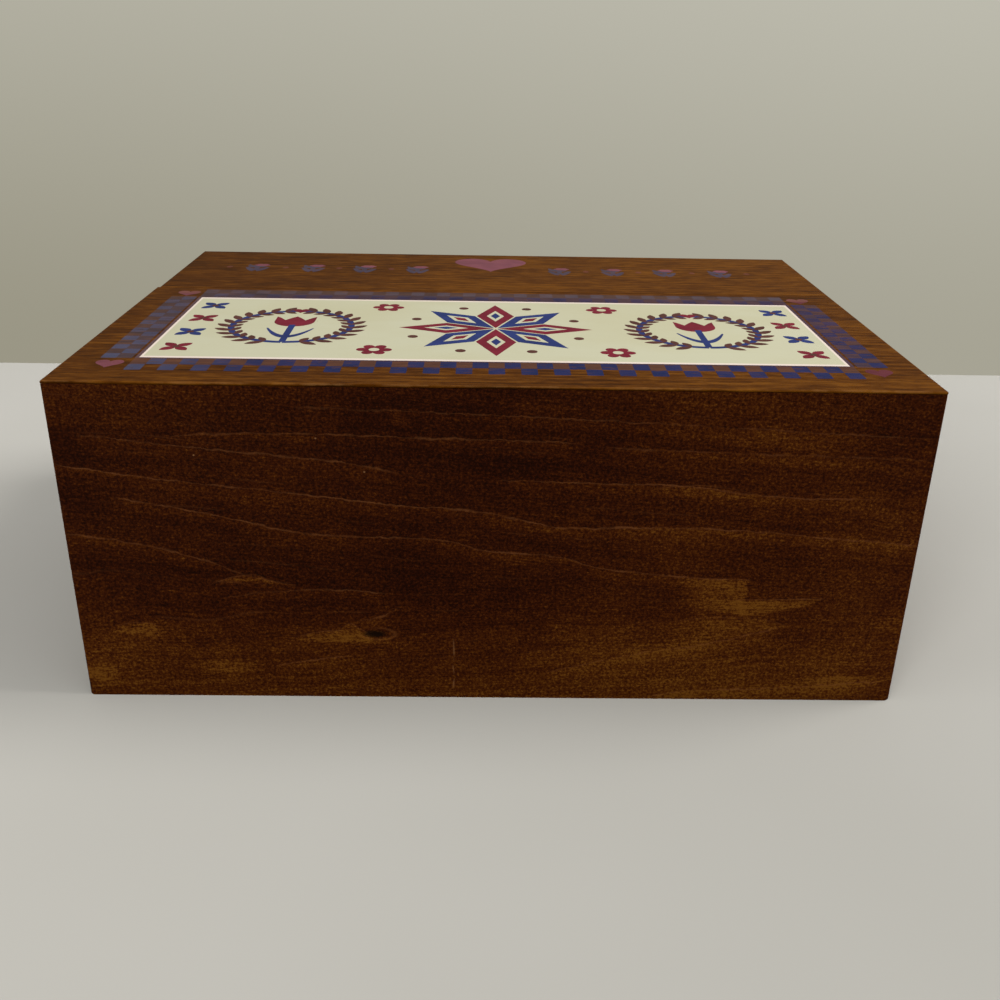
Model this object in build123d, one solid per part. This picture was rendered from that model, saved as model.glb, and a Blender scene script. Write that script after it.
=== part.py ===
import os

from build123d import *

os.makedirs("parts", exist_ok=True)

# A wooden box that files greeting cards. Millimetres, +X to the right as the
# picture on the lid is read, +Y to the back, +Z up. The origin is the centre
# of the base.

# Overall sizes
width = 350.0
depth = 255.0
height = 143.0

# Case boards
wall = 10.0
corner_rebate = 5.0
floor_thickness = 4.0
floor_rebate = 5.0
floor_clearance = 0.2
corner_round = 2.0
corner_chamfer = 1.0
board_arris = 0.5

# Lid boards, their seam and the dowels in it
lid_thickness = 8.0
lid_gap = 0.4
lid_nose = 0.8
lid_front_depth = 159.0
rear_board_setback = 1.2
lid_arris = 0.6
seam_arris = 0.3
dowel_diameter = 4.0
dowel_length = 24.0
dowel_count = 6
dowel_margin = 30.0
dowel_clearance = 0.05
end_play = 0.5

# Hinges, let into the back edge
hinge_length = 38.0
hinge_from_end = 65.0
knuckle_diameter = 4.0
pin_diameter = 1.8
pin_clearance = 0.05
knuckle_count = 3
knuckle_gap = 0.2
leaf_thickness = 1.0
leaf_width = 7.5
leaf_clearance = 0.1
knuckle_clearance = 0.4
stop_chamfer = 2.5

# Hinge screws
screw_head_diameter = 3.4
screw_shank_diameter = 1.8
case_screw_length = 12.0
lid_screw_length = 6.5
screws_per_leaf = 3
screw_end_margin = 6.0
screw_recess = 0.05
screw_clearance = 0.05
screw_slot_width = 0.6
screw_slot_depth = 0.35
screw_slot_turn = 35.0

# Brads through the side boards and up through the floor
brad_diameter = 1.2
brad_length = 22.0
brad_set = 0.6
brad_clearance = 0.05
brads_per_corner = 3
brad_end_margin = 18.0
floor_brad_length = 12.0
long_rim_brad_count = 5
short_rim_brad_count = 3
floor_brad_margin = 30.0

# The partition and the card rows
card_row_width = 190.0
partition_thickness = 8.0
partition_height = 104.0
partition_round = 3.0
housing_depth = 3.0
housing_clearance = 0.1

# The numbered dividers of the wide row
divider_count = 12
divider_thickness = 2.0
divider_height = 117.0
divider_slot_depth = 3.0
divider_slot_clearance = 0.2
divider_corner = 3.0
tab_height = 11.0
tab_width = 40.0
tab_positions = 4
tab_edge_margin = 6.0
tab_round = 2.5

# Places worked out from the sizes
half_width = width / 2
front = -depth / 2
back = depth / 2
inner_x = half_width - wall
inner_front = front + wall
inner_back = back - wall
lid_underside = height - lid_thickness
case_top = lid_underside - lid_gap
bevel_run = lid_thickness - lid_nose
seam_y = front + lid_front_depth
knuckle_radius = knuckle_diameter / 2
axis_y = back - knuckle_radius
axis_z = lid_underside - lid_gap / 2
row_left = -inner_x
row_right = row_left + card_row_width
partition_right = row_right + partition_thickness
over = 5.0


def block(x0, x1, y0, y1, z0, z1):
    """A box between two corners."""
    corner = (Align.MIN, Align.MIN, Align.MIN)
    return Pos(x0, y0, z0) * Box(x1 - x0, y1 - y0, z1 - z0, align=corner)


def along_x(points, x0, x1):
    """A prism along X whose outline is a list of (y, z) points."""
    flat = [Vector(x0, y, z) for y, z in points]
    return extrude(make_face(Polyline(*flat, close=True)), amount=x1 - x0, dir=(1, 0, 0))


def rod_x(x0, x1, y, z, diameter):
    """A round bar along X."""
    bar = Cylinder(diameter / 2, x1 - x0, align=(Align.CENTER, Align.CENTER, Align.MIN))
    return Pos(x0, y, z) * Rot(0, 90, 0) * bar


def rod_y(x, y0, y1, z, diameter):
    """A round bar along Y."""
    bar = Cylinder(diameter / 2, y1 - y0, align=(Align.CENTER, Align.CENTER, Align.MIN))
    return Pos(x, y0, z) * Rot(-90, 0, 0) * bar


def rod_z(x, y, z0, z1, diameter):
    """A round bar along Z."""
    bar = Cylinder(diameter / 2, z1 - z0, align=(Align.CENTER, Align.CENTER, Align.MIN))
    return Pos(x, y, z0) * bar


def spread(low, high, count):
    """Evenly spaced places from low to high, both ends included."""
    if count == 1:
        return [(low + high) / 2]
    step = (high - low) / (count - 1)
    return [low + step * i for i in range(count)]


def save(name, shape):
    export_step(shape, f"parts/{name}.step")


# Spaces that are cut from more than one board
def above_case():
    """All that lies over the case: flat, with the front bevel and the back chamfer."""
    outline = [
        (front - over, case_top + bevel_run + over),
        (front + bevel_run, case_top),
        (back - stop_chamfer, case_top),
        (back + over, case_top - stop_chamfer - over),
        (back + over, height + 2 * over),
        (front - over, height + 2 * over),
    ]
    return along_x(outline, -half_width - over, half_width + over)


def floor_space(clearance):
    """The rebate that the floor lies in, less a clearance all round."""
    x = inner_x + floor_rebate - clearance
    y = depth / 2 - wall + floor_rebate - clearance
    return block(-x, x, -y, y, 0, floor_thickness)


def side_board_space(side):
    """A side board's length and thickness, from corner rebate to corner rebate."""
    x0 = inner_x if side > 0 else -half_width
    y = depth / 2 - wall + corner_rebate
    return block(x0, x0 + wall, -y, y, 0, height)


def partition_space(clearance):
    """The partition with its ends in their housings."""
    return block(
        row_right - clearance,
        partition_right + clearance,
        inner_front - housing_depth,
        inner_back + housing_depth,
        floor_thickness,
        floor_thickness + partition_height,
    )


divider_pitch = (inner_back - inner_front) / (divider_count + 1)
divider_places = [inner_front + divider_pitch * (i + 1) for i in range(divider_count)]


def divider_slots():
    """Upright slots in the left side board and in the partition."""
    half_slot = divider_thickness / 2 + divider_slot_clearance
    slots = Part()
    for y in divider_places:
        slots += block(
            row_left - divider_slot_depth,
            row_right + divider_slot_depth,
            y - half_slot,
            y + half_slot,
            floor_thickness,
            height,
        )
    return slots


# Hinges
hinge_centres = [hinge_from_end - half_width, half_width - hinge_from_end]
knuckle_pitch = hinge_length / knuckle_count


def knuckle_range(centre, index):
    """The ends of one knuckle, with half a gap at each inner end."""
    x0 = centre - hinge_length / 2 + index * knuckle_pitch
    x1 = x0 + knuckle_pitch
    if index > 0:
        x0 += knuckle_gap / 2
    if index < knuckle_count - 1:
        x1 -= knuckle_gap / 2
    return x0, x1


def screw_places(centre):
    reach = hinge_length / 2 - screw_end_margin
    return spread(centre - reach, centre + reach, screws_per_leaf)


screw_y = axis_y - (knuckle_radius + leaf_width) / 2
head_depth = (screw_head_diameter - screw_shank_diameter) / 2


def screw(x, up, length, grow):
    """A countersunk screw in a leaf; up is +1 into the lid and -1 into the case."""
    face = axis_z + up * (lid_gap / 2 + screw_recess)
    far = face + up * length
    radius = screw_head_diameter / 2 + grow
    shank = screw_shank_diameter / 2 + grow
    cone = Cone(radius, shank, head_depth, align=(Align.CENTER, Align.CENTER, Align.MIN))
    turn = Rot(0, 0, 0) if up > 0 else Rot(180, 0, 0)
    head = Pos(x, screw_y, face) * turn * cone
    body = rod_z(x, screw_y, min(face + up * head_depth, far), max(face + up * head_depth, far), 2 * shank)
    return head + body


def slotted_screw(x, up, length, turn):
    """A screw with the driver's slot across its head, left at its own angle."""
    face = axis_z + up * (lid_gap / 2 + screw_recess)
    floor = face + up * screw_slot_depth
    reach = screw_head_diameter
    half_slot = screw_slot_width / 2
    slot = block(-reach, reach, -half_slot, half_slot, min(face, floor), max(face, floor))
    return screw(x, up, length, 0) - Pos(x, screw_y, 0) * Rot(0, 0, turn) * slot


def screw_well(x, up, length):
    """The hole for a screw, open through the face of the leaf."""
    hole = screw(x, up, length, screw_clearance)
    mouth = axis_z + up * (lid_gap / 2)
    floor = mouth + up * screw_recess
    wide = screw_head_diameter + 2 * screw_clearance
    return hole + rod_z(x, screw_y, min(mouth, floor), max(mouth, floor), wide)


def leaf_plate(centre, up, grow):
    """The flat of a leaf, let in flush beside the parting gap."""
    z0 = axis_z + up * lid_gap / 2
    z1 = z0 + up * (leaf_thickness + grow)
    return block(
        centre - hinge_length / 2 - grow,
        centre + hinge_length / 2 + grow,
        axis_y - leaf_width - grow,
        axis_y,
        min(z0, z1),
        max(z0, z1),
    )


def leaf(centre, up, own):
    """One leaf with its own knuckles; own lists the knuckles that it carries."""
    shape = leaf_plate(centre, up, 0)
    for index in range(knuckle_count):
        x0, x1 = knuckle_range(centre, index)
        if index in own:
            shape += rod_x(x0, x1, axis_y, axis_z, knuckle_diameter)
        else:
            room = knuckle_radius + knuckle_clearance
            x2 = x0 - knuckle_gap if index > 0 else x0 - over
            x3 = x1 + knuckle_gap if index < knuckle_count - 1 else x1 + over
            shape -= block(x2, x3, axis_y - room, axis_y + room, axis_z - room, axis_z + room)
    bore = pin_diameter + 2 * pin_clearance
    shape -= rod_x(centre - hinge_length, centre + hinge_length, axis_y, axis_z, bore)
    length = lid_screw_length if up > 0 else case_screw_length
    for x in screw_places(centre):
        shape -= screw_well(x, up, length)
    return shape


def hinge_pocket(centre, up):
    """What a board loses to a hinge: the leaf's recess and the knuckle's groove."""
    room = knuckle_diameter + 2 * knuckle_clearance
    reach = hinge_length / 2 + knuckle_clearance
    groove = rod_x(centre - reach, centre + reach, axis_y, axis_z, room)
    return leaf_plate(centre, up, leaf_clearance) + groove


case_knuckles = [i for i in range(knuckle_count) if i % 2 == 0]
lid_knuckles = [i for i in range(knuckle_count) if i % 2 == 1]


def hinge_cuts(up):
    length = lid_screw_length if up > 0 else case_screw_length
    cuts = Part()
    for centre in hinge_centres:
        cuts += hinge_pocket(centre, up)
        for x in screw_places(centre):
            cuts += screw(x, up, length + end_play, screw_clearance)
    return cuts


# Brads
side_brad_heights = spread(brad_end_margin, case_top - brad_end_margin, brads_per_corner)
side_brad_rows = [front + wall - corner_rebate / 2, back - wall + corner_rebate / 2]
floor_brad_x = spread(-half_width + floor_brad_margin, half_width - floor_brad_margin, long_rim_brad_count)
floor_brad_y = spread(front + floor_brad_margin, back - floor_brad_margin, short_rim_brad_count)


def clear_of_dividers(y):
    """The nearest place half way between two dividers."""
    index = round((y - inner_front) / divider_pitch - 0.5)
    return inner_front + divider_pitch * (index + 0.5)


def side_brad_set(depth_from, depth_to, diameter):
    """Bars along X at every side brad, between two depths below the side faces."""
    rods = Part()
    for side in (-1, 1):
        outer = side * (half_width - depth_from)
        inner = side * (half_width - depth_to)
        for y in side_brad_rows:
            for z in side_brad_heights:
                rods += rod_x(min(outer, inner), max(outer, inner), y, z, diameter)
    return rods


def floor_brad_set(z0, z1, diameter):
    """Upright bars at every floor brad: a row under each board of the case."""
    rim_x = inner_x + floor_rebate / 2
    rim_y = depth / 2 - wall + floor_rebate / 2
    places = [(x, y) for x in floor_brad_x for y in (-rim_y, rim_y)]
    places += [(x, clear_of_dividers(y)) for x in (-rim_x, rim_x) for y in floor_brad_y]
    rods = Part()
    for x, y in places:
        rods += rod_z(x, y, z0, z1, diameter)
    return rods


def side_brads(grow):
    """Brads driven in from the sides, their heads set below the face."""
    return side_brad_set(brad_set, brad_set + brad_length, brad_diameter + 2 * grow)


def floor_brads(grow):
    """Brads driven up through the floor into the case boards."""
    return floor_brad_set(brad_set, brad_set + floor_brad_length, brad_diameter + 2 * grow)


# The case
parting = above_case()
side_cuts = side_brads(brad_clearance)
floor_cuts = floor_brads(brad_clearance)
brad_mouth = brad_diameter + 2 * brad_clearance


def along_y(points, y0, y1):
    """A prism along Y whose outline is a list of (x, z) points."""
    flat = [Vector(x, y0, z) for x, z in points]
    return extrude(make_face(Polyline(*flat, close=True)), amount=y1 - y0, dir=(0, 1, 0))


def worn_corners():
    """The front board's lower corners: rounded on the right, bevelled on the left."""
    x = half_width - corner_round
    square = block(x, half_width + over, front - over, inner_front + over, -over, corner_round)
    rounded = square - rod_y(x, front - 2 * over, inner_front + 2 * over, corner_round, 2 * corner_round)
    bevel = [
        (-half_width - over, -over),
        (-half_width + corner_chamfer + over, -over),
        (-half_width - over, corner_chamfer + over),
    ]
    return rounded + along_y(bevel, front - over, inner_front + over)


def outer_arris(board, y):
    """Rounds a board's two upright edges on the outside of the case."""
    edges = board.edges().filter_by(Axis.Z).filter_by_position(Axis.Y, y, y)
    return fillet(edges, board_arris)


def front_board():
    board = block(-half_width, half_width, front, inner_front, 0, height)
    board = outer_arris(board, front)
    board -= worn_corners()
    board -= side_board_space(-1)
    board -= side_board_space(1)
    board -= floor_space(0)
    board -= partition_space(housing_clearance)
    board -= side_cuts
    board -= floor_cuts
    return board - parting


def back_board():
    board = block(-half_width, half_width, inner_back, back, 0, height)
    board = outer_arris(board, back)
    board -= side_board_space(-1)
    board -= side_board_space(1)
    board -= floor_space(0)
    board -= partition_space(housing_clearance)
    board -= side_cuts
    board -= floor_cuts
    board -= parting
    return board - hinge_cuts(-1)


def side_board(side):
    board = side_board_space(side)
    board -= floor_space(0)
    board -= side_cuts
    board -= side_brad_set(0, brad_set, brad_mouth)
    board -= floor_cuts
    if side < 0:
        board -= divider_slots()
    return board - parting


def bottom_panel():
    panel = floor_space(floor_clearance)
    panel -= floor_cuts
    return panel - floor_brad_set(0, brad_set, brad_mouth)


def partition():
    board = partition_space(0)
    long_top = board.edges().filter_by(Axis.Y).group_by(Axis.Z)[-1]
    board = fillet(long_top, min(partition_round, 0.4 * partition_thickness))
    return board - divider_slots()


# The lid
def lid_profile(y0, y1):
    """The lid's section between two places, with its bevelled front and chamfered back."""
    outline = [(y0, height)]
    if y0 == front:
        outline += [(front, height - lid_nose), (front + bevel_run, lid_underside)]
    else:
        outline += [(y0, lid_underside)]
    if y1 == back:
        outline += [(back - stop_chamfer, lid_underside), (back, lid_underside + stop_chamfer)]
    else:
        outline += [(y1, lid_underside)]
    outline += [(y1, height)]
    return outline


dowel_z = height - lid_thickness / 2


def dowel_places():
    return spread(-half_width + dowel_margin, half_width - dowel_margin, dowel_count)


def lid_dowels():
    rods = Part()
    for x in dowel_places():
        rods += rod_y(x, seam_y - dowel_length / 2, seam_y + dowel_length / 2, dowel_z, dowel_diameter)
    return rods


def dowel_holes():
    reach = dowel_length / 2 + end_play
    wide = dowel_diameter + 2 * dowel_clearance
    rods = Part()
    for x in dowel_places():
        rods += rod_y(x, seam_y - reach, seam_y + reach, dowel_z, wide)
    return rods


def ease_top(board):
    """Rounds a lid board's top edges, and takes a fine arris off the one at the seam."""
    round_over = min(lid_arris, 0.9 * lid_nose)
    outer = [e for e in top_edges(board) if abs(e.center().Y - seam_y) > seam_arris]
    board = fillet(outer, round_over)
    at_seam = [e for e in top_edges(board) if abs(e.center().Y - seam_y) < seam_arris]
    return chamfer(at_seam, seam_arris)


def top_edges(board):
    return board.edges().group_by(Axis.Z)[-1]


def lid_front_board():
    board = along_x(lid_profile(front, seam_y), -half_width, half_width)
    return ease_top(board) - dowel_holes()


def lid_rear_board():
    board = along_x(lid_profile(seam_y, back), -half_width + rear_board_setback, half_width)
    board = ease_top(board) - dowel_holes()
    return board - hinge_cuts(1)


# Dividers
def tab_centre(index):
    """Tabs step across the row, then start again."""
    reach = card_row_width / 2 - tab_edge_margin - tab_width / 2
    middle = (row_left + row_right) / 2
    return middle + spread(-reach, reach, tab_positions)[index % tab_positions]


def divider(index):
    y = divider_places[index]
    x0 = row_left - divider_slot_depth + divider_slot_clearance
    x1 = row_right + divider_slot_depth - divider_slot_clearance
    z1 = floor_thickness + divider_height
    card = block(x0, x1, y - divider_thickness / 2, y + divider_thickness / 2, floor_thickness, z1)
    card = fillet(card.edges().filter_by(Axis.Y).group_by(Axis.Z)[-1], divider_corner)
    x2 = tab_centre(index) - tab_width / 2
    x3 = tab_centre(index) + tab_width / 2
    tab = block(x2, x3, y - divider_thickness / 2, y + divider_thickness / 2, z1 - over, z1 + tab_height)
    tab = fillet(tab.edges().filter_by(Axis.Y).group_by(Axis.Z)[-1], tab_round)
    return card + tab


# Write the sub-parts
save("front_board", front_board())
save("back_board", back_board())
save("left_side", side_board(-1))
save("right_side", side_board(1))
save("bottom_panel", bottom_panel())
save("partition", partition())
save("lid_front_board", lid_front_board())
save("lid_rear_board", lid_rear_board())
save("lid_dowels", lid_dowels())
save("side_brads", side_brads(0))
save("bottom_brads", floor_brads(0))

for hinge_name, hinge_centre in zip(("left", "right"), hinge_centres):
    save(f"hinge_case_leaf_{hinge_name}", leaf(hinge_centre, -1, case_knuckles))
    save(f"hinge_lid_leaf_{hinge_name}", leaf(hinge_centre, 1, lid_knuckles))
    x_low = hinge_centre - hinge_length / 2
    x_high = hinge_centre + hinge_length / 2
    save(f"hinge_pin_{hinge_name}", rod_x(x_low, x_high, axis_y, axis_z, pin_diameter))

case_screws = Part()
lid_screws = Part()
screw_line = [place for centre in hinge_centres for place in screw_places(centre)]
for index, place in enumerate(screw_line):
    case_screws += slotted_screw(place, -1, case_screw_length, screw_slot_turn * index)
    lid_screws += slotted_screw(place, 1, lid_screw_length, -screw_slot_turn * index)
save("hinge_case_screws", case_screws)
save("hinge_lid_screws", lid_screws)

for number in range(divider_count):
    save(f"divider_{number + 1:02d}", divider(number))

print("parting plane", case_top, "to", lid_underside)
print("hinge axis y", axis_y, "z", axis_z)
print("card row", row_left, row_right, "clear height", lid_underside - floor_thickness)
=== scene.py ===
"""Looks for a stained pine box that files greeting cards, with a printed two-board lid."""

from math import cos, pi, radians, sin

import bpy
import numpy as np
from mathutils import Matrix, Vector


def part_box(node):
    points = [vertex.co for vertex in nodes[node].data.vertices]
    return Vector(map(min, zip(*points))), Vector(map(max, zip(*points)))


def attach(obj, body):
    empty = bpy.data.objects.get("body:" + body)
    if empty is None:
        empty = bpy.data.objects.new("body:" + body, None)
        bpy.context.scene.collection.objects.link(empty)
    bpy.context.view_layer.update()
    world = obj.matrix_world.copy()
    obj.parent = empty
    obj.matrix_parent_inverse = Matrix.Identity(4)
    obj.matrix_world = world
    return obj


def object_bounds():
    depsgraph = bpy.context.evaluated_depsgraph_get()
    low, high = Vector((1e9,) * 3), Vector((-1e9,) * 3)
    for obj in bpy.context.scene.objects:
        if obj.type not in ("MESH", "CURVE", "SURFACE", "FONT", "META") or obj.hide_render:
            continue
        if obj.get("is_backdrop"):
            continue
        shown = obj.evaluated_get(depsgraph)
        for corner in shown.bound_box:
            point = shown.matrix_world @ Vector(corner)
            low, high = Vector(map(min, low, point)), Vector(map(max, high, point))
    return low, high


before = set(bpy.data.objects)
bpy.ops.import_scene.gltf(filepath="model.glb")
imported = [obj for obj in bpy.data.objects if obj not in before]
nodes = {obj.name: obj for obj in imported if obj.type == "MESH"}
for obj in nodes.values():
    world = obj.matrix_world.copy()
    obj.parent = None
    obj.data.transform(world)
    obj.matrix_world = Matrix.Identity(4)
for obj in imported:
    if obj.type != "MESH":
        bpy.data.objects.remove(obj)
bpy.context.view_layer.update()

# Sizes in millimetres, the same as the box's own
MM = 0.001
HALF_WIDTH = 175.0
HALF_DEPTH = 127.5
HEIGHT = 143.0
FRONT_Y = -HALF_DEPTH


def tone(red, green, blue):
    """A screen colour, 0 to 255, as the linear values that a shader takes."""
    linear = []
    for part in (red, green, blue):
        share = part / 255
        linear.append(share / 12.92 if share <= 0.04045 else ((share + 0.055) / 1.055) ** 2.4)
    return (*linear, 1.0)


def add_object(name, data):
    """A new object of the scene."""
    obj = bpy.data.objects.new(name, data)
    bpy.context.scene.collection.objects.link(obj)
    return obj


# Shader maths
def operator(operation, swapped=False):
    """A method of Signal that adds one Math node."""
    def method(self, *others):
        values = (*others, self) if swapped else (self, *others)
        return self.finish.math(operation, *values)
    return method


class Signal:
    """A socket of a finish. Arithmetic on it adds Math nodes, with numbers on either side."""

    def __init__(self, finish, socket):
        self.finish = finish
        self.socket = socket

    __add__ = operator("ADD")
    __radd__ = operator("ADD", True)
    __sub__ = operator("SUBTRACT")
    __rsub__ = operator("SUBTRACT", True)
    __mul__ = operator("MULTIPLY")
    __truediv__ = operator("DIVIDE")
    __pow__ = operator("POWER")
    __abs__ = operator("ABSOLUTE")

    def rise(self, low, high):
        """0 below low and 1 above high, with a soft step between them."""
        inputs = {"Value": self, "From Min": low, "From Max": high, "To Min": 0.0, "To Max": 1.0}
        node = self.finish.node("ShaderNodeMapRange", inputs, interpolation_type="SMOOTHSTEP",
                                clamp=True)
        return Signal(self.finish, node.outputs["Result"])

    def near(self, place, reach):
        """1 at a place and 0 at reach from it."""
        return 1.0 - abs(self - place).rise(0, reach)


class Shading:
    """The node tree of a material or of the world, emptied."""

    def __init__(self, owner):
        owner.use_nodes = True
        self.tree = owner.node_tree
        self.tree.nodes.clear()

    def node(self, kind, inputs=None, **settings):
        """Adds a node: its settings first, then the values or links of its sockets."""
        node = self.tree.nodes.new(kind)
        for name, value in settings.items():
            setattr(node, name, value)
        for name, value in (inputs or {}).items():
            self.feed(node.inputs[name], value)
        return node

    def feed(self, socket, value):
        if isinstance(value, Signal):
            value = value.socket
        if isinstance(value, bpy.types.NodeSocket):
            self.tree.links.new(value, socket)
        else:
            socket.default_value = value

    def math(self, operation, *values):
        node = self.node("ShaderNodeMath", dict(enumerate(values)), operation=operation)
        return Signal(self, node.outputs["Value"])


class Finish(Shading):
    """A procedural material that reads places on the object in millimetres."""

    def __init__(self, name):
        self.material = bpy.data.materials.new(name)
        super().__init__(self.material)
        place = self.node("ShaderNodeTexCoord").outputs["Object"]
        parts = self.node("ShaderNodeSeparateXYZ", {"Vector": place}).outputs
        self.x, self.y, self.z = (Signal(self, parts[axis]) / MM for axis in "XYZ")

    def least(self, a, b):
        return self.math("MINIMUM", a, b)

    def most(self, first, *others):
        for value in others:
            first = self.math("MAXIMUM", first, value)
        return first

    def vector(self, x, y, z):
        return self.node("ShaderNodeCombineXYZ", {"X": x, "Y": y, "Z": z}).outputs["Vector"]

    def noise(self, size, detail=2.0, rough=0.5, shift=0.0, along=None):
        """Noise whose blots are about size millimetres long on X, Y and Z."""
        x, y, z = along or (self.x, self.y, self.z)
        where = self.vector(x / size[0] + shift, y / size[1] + 1.7 * shift, z / size[2] + 2.3 * shift)
        inputs = {"Vector": where, "Scale": 1.0, "Detail": detail, "Roughness": rough}
        node = self.node("ShaderNodeTexNoise", inputs, noise_dimensions="3D")
        return Signal(self, node.outputs[0])

    def patches(self, low, high, *noise):
        """Noise cut to soft patches: 0 where it is below low and 1 where it is above high."""
        return self.noise(*noise).rise(low, high)

    def swing(self, *noise):
        """Noise about nothing, from -0.5 to 0.5."""
        return self.noise(*noise) - 0.5

    def mix(self, share, first, second):
        node = self.node("ShaderNodeMix", {0: share, 6: first, 7: second}, data_type="RGBA",
                         blend_type="MIX", clamp_factor=True)
        return node.outputs[2]

    def ramp(self, value, stops):
        node = self.node("ShaderNodeValToRGB", {"Fac": value})
        elements = node.color_ramp.elements
        while len(elements) < len(stops):
            elements.new(0.5)
        for element, (position, colour) in zip(elements, stops):
            element.position = position
            element.color = colour
        return node.outputs["Color"]

    def three_tones(self, value, dark, middle, light):
        return self.ramp(value, [(0.0, dark), (0.5, middle), (1.0, light)])

    def surface(self, colour, rough, relief, metal=0.0, specular=0.5, depth=0.05):
        """Closes the material; relief is a height whose full swing is depth millimetres."""
        inputs = {"Base Color": colour, "Roughness": rough, "Metallic": metal,
                  "Specular IOR Level": specular}
        shader = self.node("ShaderNodeBsdfPrincipled", inputs)
        swing = {"Strength": 1.0, "Distance": depth * MM, "Height": relief}
        bump = self.node("ShaderNodeBump", swing)
        self.feed(shader.inputs["Normal"], bump.outputs["Normal"])
        self.node("ShaderNodeOutputMaterial", {"Surface": shader.outputs["BSDF"]})
        return self.material


def edge_distance(finish):
    """How far a place on the outside of the box lies from the box's nearest edge, in mm.

    Of the three distances to the box's faces, one is nothing and the middle one is it.
    """
    to_end = HALF_WIDTH - abs(finish.x)
    to_face = HALF_DEPTH - abs(finish.y)
    to_top = HEIGHT - finish.z
    to_top = finish.least(to_top, finish.z)
    low = finish.least(to_end, to_face)
    high = finish.most(to_end, to_face)
    return finish.most(low, finish.least(high, to_top))


# Stained pine
def pine_grain(finish, along, across, through, ring, wander, lean, seed):
    """Plain-sawn grain: rings across a board, wandering slowly along it.

    The ring count is (across + lean * through + wander * noise) / ring. Within a ring the
    wood darkens slowly and breaks off sharply. Gives the late wood, fine streaks along the
    grain, broad stain blots and short resin flecks, each from 0 to 1.
    """
    axes = (along, across, through)
    slow = finish.noise((240, 34, 60), 1, 0.5, seed, axes)
    small = finish.noise((55, 5, 12), 2, 0.5, seed + 3.1, axes)
    count = (across + through * lean + slow * wander + small * (0.09 * wander)) / ring
    phase = finish.math("FRACT", count)
    late = phase.rise(0.25, 0.93) * (1.0 - phase.rise(0.94, 1))
    vary = finish.noise((120, ring * 1.6, 30), 1, 0.5, seed + 5.7, axes)
    late = late * vary.rise(0.2, 0.75)
    streak = finish.noise((75, 0.7, 1.6), 3, 0.6, seed + 9.2, axes)
    blot = finish.noise((60, 24, 24), 3, 0.55, seed + 13, axes)
    fleck = finish.patches(0.66, 0.78, (9, 0.35, 0.5), 1, 0.5, seed + 17, axes)
    return late, streak, blot, fleck


def end_grain(finish, across, through, seed):
    """Close arcs over a board's sawn end."""
    bow = finish.noise((30, 30, 30), 2, 0.5, seed)
    count = (across + through * 0.6 + bow * 18.0) / 3.2
    return finish.math("PINGPONG", count, 1).rise(0.1, 0.95)


# The front board: each grain line is drawn through places (x, z) in mm, with its strength
GRAIN_LINES = [
    ([(-80, 133.5), (-12, 131.5), (74, 128), (174, 123)], 0.55),
    ([(-130, 121), (-80, 122.5), (-39, 121.5), (33, 120)], 0.8),
    ([(42, 118), (108, 116), (174, 114.5)], 0.55),
    ([(-166, 121), (-112, 115.5), (-62, 110.5), (-39, 106.5)], 0.85),
    ([(1, 103.5), (51, 102.5), (74, 102), (108, 98), (158, 97)], 0.9),
    ([(-176, 108.5), (-130, 102), (-76, 96.5), (-39, 92), (-8, 90), (29, 83), (60, 83.5),
      (97, 82.5), (142, 79), (176, 76.5)], 1),
    ([(-155, 94.5), (-114, 87), (-80, 79.5), (-19, 76), (-3, 72), (29, 69), (39, 65.5),
      (65, 62), (103, 59.5)], 1),
    ([(-176, 78), (-148, 74), (-121, 67), (-101, 59), (-84, 55.5)], 0.75),
    ([(-114, 48.5), (-94, 51.5), (-76, 53), (-43, 51.5)], 0.8),
    ([(-59, 38.5), (-49, 40), (-40, 45)], 0.9),
    ([(22, 12.5), (60, 22.5), (90, 28), (124, 37.5)], 0.8),
    ([(65, 0.5), (81, 3.5), (131, 6.5), (174, 10.5)], 0.9),
    ([(-96, 14.5), (-78, 18.5), (-59, 20.5)], 0.7),
]

# Paler flames in the grain: centre x and z, half length, half height, lean, strength
FLAMES = [
    (-72, 30, 30, 5.4, 0.02, 0.4),
    (100, 48, 24, 12, -0.10, 0.3),
    (-150, 31, 20, 7, 0, 0.3),
    (-168, 11, 8, 6, 0, 1),
    (-114, 14.4, 15, 5, 0, 0.65),
    (-38, 129, 5, 4, -0.5, 0.6),
    (168, 38.4, 9, 4, 0, 0.5),
    (29, 37.3, 5, 4, 0, 0.4),
    (61, 24.8, 4.5, 3.5, 0, 0.4),
    (8, 29.4, 3.5, 3, 0, 0.35),
    (150, 9.5, 26, 3.6, 0.1, 0.6),
]
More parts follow.
